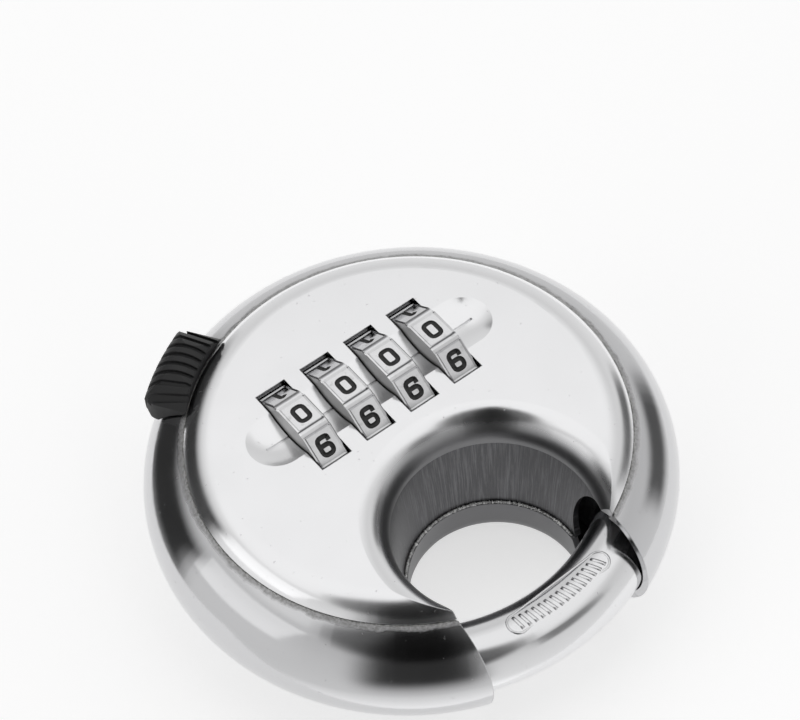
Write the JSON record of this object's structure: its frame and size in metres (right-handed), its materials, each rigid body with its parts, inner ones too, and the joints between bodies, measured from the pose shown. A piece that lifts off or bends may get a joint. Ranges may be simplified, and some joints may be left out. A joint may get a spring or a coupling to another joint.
{
  "type": "disc padlock",
  "caption": "Round stainless padlock with number dials on its face, a black thumb slider and a curved shackle that swings across a notch in the rim.",
  "frame": {"origin": "centre of the flat rear face, on the disc's axis", "axes": "+Z out of the dialled face, +X along the row of dials to the right, -Y towards the notch that the shackle crosses"},
  "size_m": [0.07, 0.0687, 0.0241],
  "materials": {
    "front_steel": "mirror-polished stainless",
    "rim_steel": "mirror-polished stainless",
    "rear_steel": "polished stainless",
    "throat_steel": "drawn stainless with fine scratches",
    "shackle_steel": "polished hardened steel",
    "dial_chrome": "chrome plate",
    "slider_black": "matte black",
    "shield_black": "matte black",
    "core_zinc": "raw die-cast zinc alloy",
    "brass": "turned brass",
    "fixing_steel": "zinc-plated steel",
    "spring_steel": "bright spring steel"
  },
  "bodies": {
    "casing": {"front_cover": "front_steel", "rim_shell": "rim_steel", "rear_shell": "rear_steel", "throat_sleeve": "throat_steel", "core_front": "core_zinc", "core_rear": "core_zinc", "core_screws": "fixing_steel", "detent_spring_1": "spring_steel", "detent_spring_2": "spring_steel", "detent_spring_3": "spring_steel", "detent_spring_4": "spring_steel", "left_fence_spring": "spring_steel", "right_fence_spring": "spring_steel", "axle_spring": "spring_steel"},
    "shackle": {"shackle": "shackle_steel", "slider_arm": "slider_black", "slider_grip": "slider_black", "slider_screws": "fixing_steel", "dust_shield": "shield_black"},
    "dial_1": {"dial_1": "dial_chrome", "sleeve_1": "brass"},
    "dial_2": {"dial_2": "dial_chrome", "sleeve_2": "brass"},
    "dial_3": {"dial_3": "dial_chrome", "sleeve_3": "brass"},
    "dial_4": {"dial_4": "dial_chrome", "sleeve_4": "brass"},
    "reset_screw": {"reset_screw": "brass"},
    "axle": {"dial_axle": "fixing_steel"},
    "fence": {"locking_fence": "fixing_steel"}
  },
  "joints": [
    {"name": "shackle_swing", "type": "hinge", "parent": "casing", "child": "shackle", "pos_m": [0, 0, 0.011], "axis": [0, 0, -1], "range_deg": [0, 60]},
    {"name": "fence_slide", "type": "slide", "parent": "casing", "child": "fence", "axis": [0, -1, 0], "range_m": [0, 0.0018], "deforming": ["left_fence_spring", "right_fence_spring"]},
    {"name": "reset_turn", "type": "hinge", "parent": "casing", "child": "reset_screw", "pos_m": [0.018, 0.0081, 0], "axis": [0, 0, -1], "range_deg": [0, 90]},
    {"name": "axle_slide", "type": "slide", "parent": "casing", "child": "axle", "axis": [1, 0, 0], "range_m": [0, 0.0016], "deforming": ["axle_spring"]},
    {"name": "dial_1_spin", "type": "hinge", "parent": "casing", "child": "dial_1", "pos_m": [0, 0.0081, 0.0156], "axis": [1, 0, 0], "continuous": true},
    {"name": "dial_2_spin", "type": "hinge", "parent": "casing", "child": "dial_2", "pos_m": [0, 0.0081, 0.0156], "axis": [1, 0, 0], "continuous": true},
    {"name": "dial_3_spin", "type": "hinge", "parent": "casing", "child": "dial_3", "pos_m": [0, 0.0081, 0.0156], "axis": [1, 0, 0], "continuous": true},
    {"name": "dial_4_spin", "type": "hinge", "parent": "casing", "child": "dial_4", "pos_m": [0, 0.0081, 0.0156], "axis": [1, 0, 0], "continuous": true}
  ],
  "couplings": [
    {"joint": "fence_slide", "follows": "shackle_swing", "m_per_rad": 0.0017188},
    {"joint": "reset_turn", "follows": "axle_slide", "rad_per_m": 981.5}
  ]
}
